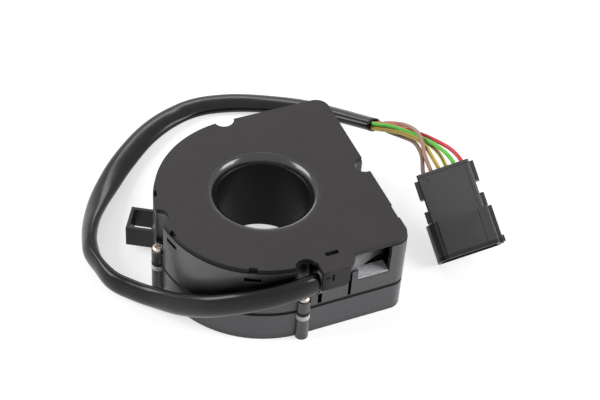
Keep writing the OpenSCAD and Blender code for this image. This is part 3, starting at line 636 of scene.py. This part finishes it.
# %% Wire insulation
def wire_finish(name, colour, stripe=None, stripe_from=0.0, stripe_to=0.0):
    """Wire insulation: a satin colour, with a narrow stripe along one side where the wire has one."""
    made = Finish(name, colour, 0.42, specular=0.4)
    shade = made.blend(made.spread(made.noise(3), 0, 1), tinted(colour, 0.88), tinted(colour, 1.08))
    if stripe:
        split = made.add("ShaderNodeSeparateXYZ")
        made.link(made.coordinates("UV"), split.inputs["Vector"])
        after = made.sum("GREATER_THAN", split.outputs["X"], stripe_from)
        before = made.sum("LESS_THAN", split.outputs["X"], stripe_to)
        shade = made.blend(made.sum("MULTIPLY", after, before), shade, stripe)
    made.colour(shade)
    made.relief([(made.noise(1.2, detail=2), 0.02)])
    return made.material


# %% [markdown]
# ## Seal, board and printed films
# The pale seal is foam with streaks along the sill. The board shows its copper under the mask, and the tracks are
# printed films.

# %% Seal, board and films
def seal_finish():
    """Pale foam seal with fine streaks along the sill."""
    made = Finish("pale_seal", (0.46, 0.44, 0.47), 0.8, specular=0.3)
    streaks = made.noise(0.6, detail=5, stretch=(0.35, 2.2, 1))
    made.colour(made.blend(made.spread(streaks, 0, 1), (0.42, 0.40, 0.44), (0.72, 0.70, 0.74)))
    made.relief([(streaks, 0.06)], 0.1)
    return made.material


def board_finish():
    """Dark solder mask with faint copper paths under it."""
    mask, copper = (0.004, 0.016, 0.008), (0.008, 0.035, 0.014)
    made = Finish("dark_green_board", mask, 0.4)
    paths = made.add("ShaderNodeTexVoronoi", Scale=380, feature="DISTANCE_TO_EDGE", distance="MANHATTAN")
    made.link(made.coordinates(), paths.inputs["Vector"])
    near = made.spread(paths.outputs["Distance"], 1, 0, 0.05, 0.09)
    made.colour(made.blend(near, mask, copper))
    made.relief([(near, 0.03)], 0.08)
    return made.material


def film_finish(name, colour, roughness, metallic):
    """Printed film, slightly rough along its track."""
    made = Finish(name, colour, roughness, metallic=metallic)
    made.roughness(made.spread(made.noise(0.4), roughness - 0.05, roughness + 0.1))
    made.relief([(made.noise(0.3), 0.01)])
    return made.material


# %% [markdown]
# ## One finish for each slot
# The record names a material slot for each node. The two shells share a slot, yet the lower one is a little bluer,
# because it comes from another batch, so it has a finish of its own.

# %% Finishes by slot and by piece
FINISHES = {
    "housing": shell_finish("upper_shell_grey", (0.060, 0.058, 0.061)),
    "cover": cover_finish(),
    "rotor": moulded("black_rotor", (0.005, 0.005, 0.005), 0.4, edge_mm=0.15, specular=0.15),
    "pale_plastic": moulded("pale_plastic", (0.62, 0.61, 0.58), 0.4, drift=0.06, edge_mm=0.15),
    "screws": metal("zinc_screws", (0.60, 0.53, 0.46), 0.3, edge_mm=0.12),
    "spring_brass": metal("spring_brass", (0.72, 0.5, 0.25), 0.3),
    "board": board_finish(),
    "ceramic": moulded("fired_ceramic", (0.72, 0.7, 0.63), 0.5, drift=0.05, edge_mm=0.05),
    "carbon": film_finish("carbon_film", (0.015, 0.015, 0.016), 0.5, 0.0),
    "gold": film_finish("gold_film", (0.8, 0.6, 0.25), 0.3, 1.0),
    "package": moulded("epoxy_package", (0.018, 0.018, 0.02), 0.55, grain_mm=0.15, edge_mm=0.08),
    "crystal_can": metal("crystal_can", (0.65, 0.66, 0.68), 0.25),
    "capacitor_can": moulded("capacitor_sleeve", (0.05, 0.055, 0.09), 0.35, edge_mm=0.1),
    "chip_ceramic": moulded("chip_ceramic", (0.4, 0.27, 0.16), 0.5, edge_mm=0.05),
    "seal": seal_finish(),
    "sleeve": sleeve_finish("soft_black_sleeve", (0.003, 0.003, 0.003), (0.006, 0.006, 0.006)),
    "connector": connector_finish(),
    "contacts": metal("tin_contacts", (0.72, 0.69, 0.62), 0.3),
}
LOWER_SHELL = shell_finish("lower_shell_grey", (0.056, 0.055, 0.064))
LOOP_GREY = moulded("loop_grey", (0.020, 0.020, 0.021), 0.35, drift=0.06, edge_mm=0.2, specular=0.3)
COLLAR_LIP = collar_lip_finish()
# The held stretch is the same black sleeve; its pale grey is painted light and painted reflection on it.
HELD_LEAD_PAINTED_LIGHT = sleeve_finish("held_stretch_painted_light", (0.14, 0.14, 0.142), (0.21, 0.21, 0.213), (0.2, 0.3))
WIRE_FINISHES = {
    "wire_brown": wire_finish("brown_wire", (0.25, 0.15, 0.11)),
    "wire_violet_brown": wire_finish("violet_brown_wire", (0.40, 0.24, 0.17), (0.2, 0.1, 0.16), 0.48, 0.68),
    "wire_yellow_brown": wire_finish("yellow_brown_wire", (0.6, 0.45, 0.06), (0.30, 0.15, 0.07), 0.1, 0.19),
    "wire_yellow_black": wire_finish("yellow_black_wire", (0.66, 0.54, 0.1), (0.02, 0.02, 0.02), 0.1, 0.21),
    "wire_green": wire_finish("green_wire", (0.127, 0.578, 0.06)),
    "wire_red": wire_finish("red_wire", (0.66, 0.045, 0.06)),
}
print("finishes:", len(FINISHES) + len(WIRE_FINISHES) + 4)


# %% [markdown]
# ## Dressing
# A CAD node keeps its mesh and only takes a material. The lead's own pieces take theirs by name.

# %% Dress every piece
def dress(piece, material):
    piece.data.materials.clear()
    piece.data.materials.append(material)


def dress_all():
    """Each CAD node takes the finish of its slot, and the lead's own pieces take theirs."""
    slots = {row["node"]: row["material_slot"] for row in frame["record"]["subparts"]}
    for name, piece in NODES.items():
        if slots[name] in FINISHES:
            dress(piece, FINISHES[slots[name]])
    dress(NODES["lower_housing"], LOWER_SHELL)
    dress(NODES["loop_frame"], LOOP_GREY)
    for name, wire in wires.items():
        dress(wire, WIRE_FINISHES[name])
        dress(NODES[name], WIRE_FINISHES[name])
    dress(sleeve, FINISHES["sleeve"])
    dress(held_lead, HELD_LEAD_PAINTED_LIGHT)
    dress(collar_lip, COLLAR_LIP)
    return len(slots)


print("dressed nodes:", dress_all())


# %% [markdown]
# ## Floor
# The object stands on white card. The card is a little below full white, so that it keeps the shadow, and only the
# camera, mirrors and glass see it glow up to white. A big sheet is enough, since nothing else shows.

# %% White floor
FLOOR_SIZE = 4
FLOOR_DROP_MM = 0.02
FLOOR_WHITE, FLOOR_GLOW = 0.55, 0.63


def add_floor():
    """A white floor that keeps a faint shadow of the object."""
    size = FLOOR_SIZE
    mesh = bpy.data.meshes.new("floor")
    mesh.from_pydata([(-size, -size, 0), (size, -size, 0), (size, size, 0), (-size, size, 0)], [], [(0, 1, 2, 3)])
    floor = bpy.data.objects.new("floor", mesh)
    bpy.context.scene.collection.objects.link(floor)
    floor.location.z = -FLOOR_DROP_MM * MM
    white = (FLOOR_WHITE, FLOOR_WHITE, FLOOR_WHITE)
    made = Finish("white_floor", white, 0.9, specular=0.0)
    path = made.add("ShaderNodeLightPath")
    seen = made.sum("MAXIMUM", path.outputs["Is Camera Ray"], path.outputs["Is Glossy Ray"])
    seen = made.sum("MAXIMUM", seen, path.outputs["Is Transmission Ray"])
    glow = made.sum("MULTIPLY", seen, FLOOR_GLOW)
    made.shader.inputs["Emission Color"].default_value = (1, 1, 1, 1)
    made.link(glow, made.shader.inputs["Emission Strength"])
    dress(floor, made.material)


add_floor()


# %% [markdown]
# ## Light
# Two soft boxes hang over the object, one to the right and one behind to the left, and give the long highlights on
# the sleeve and the two bright arcs on the collar. A weaker, narrow one behind adds to the sleeve's highlight, and the
# white room does the rest. A single light from the camera would be simpler, but it would flatten the dark plastic.

# %% Soft boxes and the white room
SOFT_BOXES = {
    "right_softbox": dict(place=(0.556, -0.361, 0.45), size=0.4, size_y=0.36, power=4.2),
    "left_softbox": dict(place=(-0.63, 0.23, 0.44), size=0.5, size_y=0.36, power=4.6),
    "back_softbox": dict(place=(0.16, 0.68, 0.38), size=0.36, size_y=0.16, power=0.9),
}
TARGET = (0, 0, 0.02)
ROOM_LIGHT = 0.31


def add_light(name, place, size, size_y, power):
    data = bpy.data.lights.new(name, "AREA")
    data.energy = power
    data.shape = "RECTANGLE"
    data.size = size
    data.size_y = size_y
    lamp = bpy.data.objects.new(name, data)
    bpy.context.scene.collection.objects.link(lamp)
    lamp.location = place
    aim = Vector(TARGET) - Vector(place)
    lamp.rotation_euler = aim.to_track_quat("-Z", "Y").to_euler()


def add_room():
    """White for the camera, mirrors and glass, and a weaker even light on the object."""
    world = bpy.data.worlds.new("studio")
    bpy.context.scene.world = world
    world.use_nodes = True
    tree = world.node_tree
    back = tree.nodes["Background"]
    path = tree.nodes.new("ShaderNodeLightPath")
    seen = path.outputs["Is Camera Ray"]
    for ray in ("Is Glossy Ray", "Is Transmission Ray"):
        either = tree.nodes.new("ShaderNodeMath")
        either.operation = "MAXIMUM"
        tree.links.new(seen, either.inputs[0])
        tree.links.new(path.outputs[ray], either.inputs[1])
        seen = either.outputs[0]
    strength = tree.nodes.new("ShaderNodeMapRange")
    strength.inputs["To Min"].default_value = ROOM_LIGHT
    strength.inputs["To Max"].default_value = 1.0
    tree.links.new(seen, strength.inputs["Value"])
    tree.links.new(strength.outputs["Result"], back.inputs["Strength"])
    back.inputs["Color"].default_value = (1, 1, 1, 1)


for box_name, box in SOFT_BOXES.items():
    add_light(box_name, **box)
add_room()
bpy.context.scene.view_settings.view_transform = "Standard"
print("lights:", len(SOFT_BOXES))
